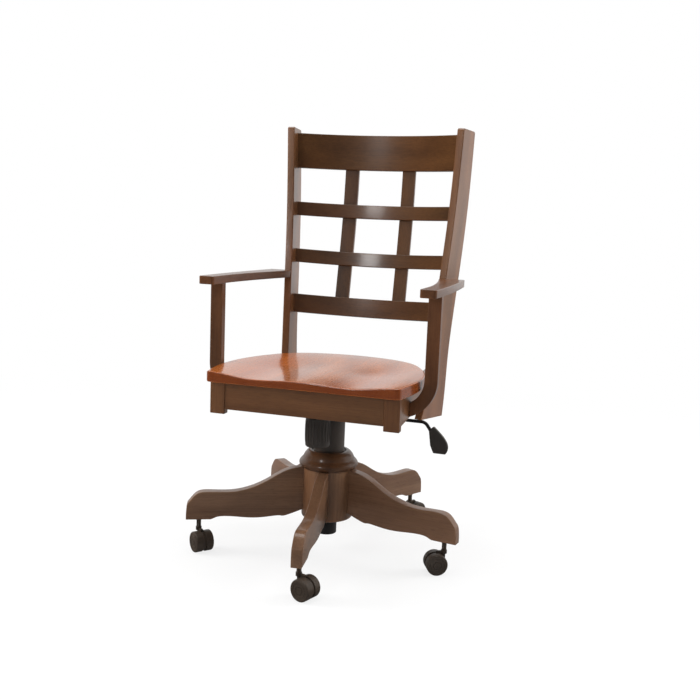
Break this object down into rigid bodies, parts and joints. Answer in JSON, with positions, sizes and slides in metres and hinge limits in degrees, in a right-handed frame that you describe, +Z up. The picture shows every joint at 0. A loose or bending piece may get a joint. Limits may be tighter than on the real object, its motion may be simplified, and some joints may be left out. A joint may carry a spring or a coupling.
{
  "type": "desk armchair",
  "caption": "Slat-back wooden desk armchair with flat arms, on a five-leg swivel and tilt base with casters and a gas lift.",
  "frame": {"origin": "on the floor, on the axis of the gas-lift column", "axes": "+Z up along the column; the sitter faces -Y; the lift lever is on the +X side"},
  "size_m": [0.6527, 0.7229, 1.0464],
  "materials": {
    "seat_wood": "stained red-brown, gloss lacquer",
    "frame_wood": "stained dark brown, satin lacquer",
    "base_wood": "stained dark brown, satin lacquer",
    "plain_wood": "unfinished",
    "black_steel": "black powder coat",
    "bright_steel": "ground",
    "bushing_plastic": "moulded",
    "valve_plastic": "moulded",
    "cover_plastic": "moulded",
    "grip_plastic": "moulded",
    "caster_plastic": "moulded"
  },
  "bodies": {
    "base": {"hub": "base_wood", "hub_cap": "base_wood", "column_sleeve": "black_steel", "leg_1": "base_wood", "leg_2": "base_wood", "leg_3": "base_wood", "leg_4": "base_wood", "leg_5": "base_wood", "leg_dowels": "plain_wood", "caster_sockets": "bright_steel", "outer_tube": "black_steel", "guide_bushing": "bushing_plastic", "thrust_bearing": "bright_steel", "cover_inner": "cover_plastic"},
    "rotor": {"piston_rod": "bright_steel", "rod_clip": "bright_steel"},
    "cover": {"cover_middle": "cover_plastic"},
    "lift": {"pressure_tube": "black_steel", "cover_outer": "cover_plastic", "mechanism_housing": "black_steel", "tilt_pin": "bright_steel", "tilt_spring": "bright_steel"},
    "valve": {"valve_button": "valve_plastic"},
    "lever": {"lift_lever": "black_steel", "lever_paddle": "grip_plastic"},
    "tension": {"tension_bolt": "bright_steel"},
    "knob": {"tension_knob": "grip_plastic", "knob_nut": "bright_steel"},
    "seat": {"seat_plate": "black_steel", "seat": "seat_wood", "seat_screws": "bright_steel", "front_apron": "frame_wood", "rear_apron": "frame_wood", "left_apron": "frame_wood", "right_apron": "frame_wood", "stub_legs": "frame_wood", "corner_blocks": "plain_wood", "left_arm_post": "frame_wood", "right_arm_post": "frame_wood", "left_arm": "frame_wood", "right_arm": "frame_wood", "arm_dowels": "plain_wood", "left_back_post": "frame_wood", "right_back_post": "frame_wood", "crest_rail": "frame_wood", "upper_slat": "frame_wood", "middle_slat": "frame_wood", "lower_rail": "frame_wood", "upright_slats": "frame_wood"},
    "caster_1": {"caster_frame_1": "caster_plastic"},
    "wheels_1": {"caster_wheels_1": "caster_plastic"},
    "caster_2": {"caster_frame_2": "caster_plastic"},
    "wheels_2": {"caster_wheels_2": "caster_plastic"},
    "caster_3": {"caster_frame_3": "caster_plastic"},
    "wheels_3": {"caster_wheels_3": "caster_plastic"},
    "caster_4": {"caster_frame_4": "caster_plastic"},
    "wheels_4": {"caster_wheels_4": "caster_plastic"},
    "caster_5": {"caster_frame_5": "caster_plastic"},
    "wheels_5": {"caster_wheels_5": "caster_plastic"}
  },
  "joints": [
    {"name": "seat_swivel", "type": "hinge", "parent": "base", "child": "rotor", "pos_m": [0, 0, 0.04], "axis": [0, 0, 1], "continuous": true},
    {"name": "seat_height", "type": "slide", "parent": "rotor", "child": "lift", "axis": [0, 0, 1], "range_m": [0, 0.1]},
    {"name": "cover_slide", "type": "slide", "parent": "base", "child": "cover", "axis": [0, 0, 1], "range_m": [0, 0.05]},
    {"name": "seat_tilt", "type": "hinge", "parent": "lift", "child": "seat", "pos_m": [0, -0.036, 0.398], "axis": [-1, 0, 0], "range_deg": [0, 12], "stiffness_Nm_per_rad": 150, "springref_deg": -14.32},
    {"name": "tension_lift", "type": "slide", "parent": "lift", "child": "tension", "axis": [0, 0, 1], "range_m": [0, 0.0137], "deforming": ["tilt_spring"]},
    {"name": "knob_turn", "type": "hinge", "parent": "tension", "child": "knob", "pos_m": [0, -0.09, 0.3], "axis": [0, 0, 1], "range_deg": [-1080, 1080]},
    {"name": "lever_lift", "type": "hinge", "parent": "lift", "child": "lever", "pos_m": [0.056, 0, 0.4079], "axis": [0, -1, 0], "range_deg": [0, 3.5]},
    {"name": "valve_press", "type": "slide", "parent": "lift", "child": "valve", "axis": [0, 0, 1], "range_m": [-0.0036, 0], "stiffness_N_per_m": 2000, "springref_m": 0.001},
    {"name": "caster_swivel_1", "type": "hinge", "parent": "base", "child": "caster_1", "pos_m": [0.30726, -0.05418, 0.07], "axis": [0, 0, 1], "continuous": true},
    {"name": "caster_roll_1", "type": "hinge", "parent": "caster_1", "child": "wheels_1", "pos_m": [0.29004, -0.06221, 0.025], "axis": [0.4226, -0.9063, 0], "continuous": true},
    {"name": "caster_swivel_2", "type": "hinge", "parent": "base", "child": "caster_2", "pos_m": [0.14647, 0.27548, 0.07], "axis": [0, 0, 1], "continuous": true},
    {"name": "caster_roll_2", "type": "hinge", "parent": "caster_2", "child": "wheels_2", "pos_m": [0.1554, 0.29226, 0.025], "axis": [-0.8829, 0.4695, 0], "continuous": true},
    {"name": "caster_swivel_3", "type": "hinge", "parent": "base", "child": "caster_3", "pos_m": [-0.21673, 0.22443, 0.07], "axis": [0, 0, 1], "continuous": true},
    {"name": "caster_roll_3", "type": "hinge", "parent": "caster_3", "child": "wheels_3", "pos_m": [-0.23319, 0.23393, 0.025], "axis": [-0.5, -0.866, 0], "continuous": true},
    {"name": "caster_swivel_4", "type": "hinge", "parent": "base", "child": "caster_4", "pos_m": [-0.28042, -0.13677, 0.07], "axis": [0, 0, 1], "continuous": true},
    {"name": "caster_roll_4", "type": "hinge", "parent": "caster_4", "child": "wheels_4", "pos_m": [-0.26587, -0.14899, 0.025], "axis": [0.6428, 0.766, 0], "continuous": true},
    {"name": "caster_swivel_5", "type": "hinge", "parent": "base", "child": "caster_5", "pos_m": [0.04342, -0.30896, 0.07], "axis": [0, 0, 1], "continuous": true},
    {"name": "caster_roll_5", "type": "hinge", "parent": "caster_5", "child": "wheels_5", "pos_m": [0.06139, -0.31515, 0.025], "axis": [0.3256, 0.9455, 0], "continuous": true}
  ],
  "couplings": [
    {"joint": "cover_slide", "follows": "seat_height", "ratio": 0.5},
    {"joint": "tension_lift", "follows": "seat_tilt", "m_per_rad": 0.065},
    {"joint": "valve_press", "follows": "lever_lift", "m_per_rad": -0.057}
  ]
}
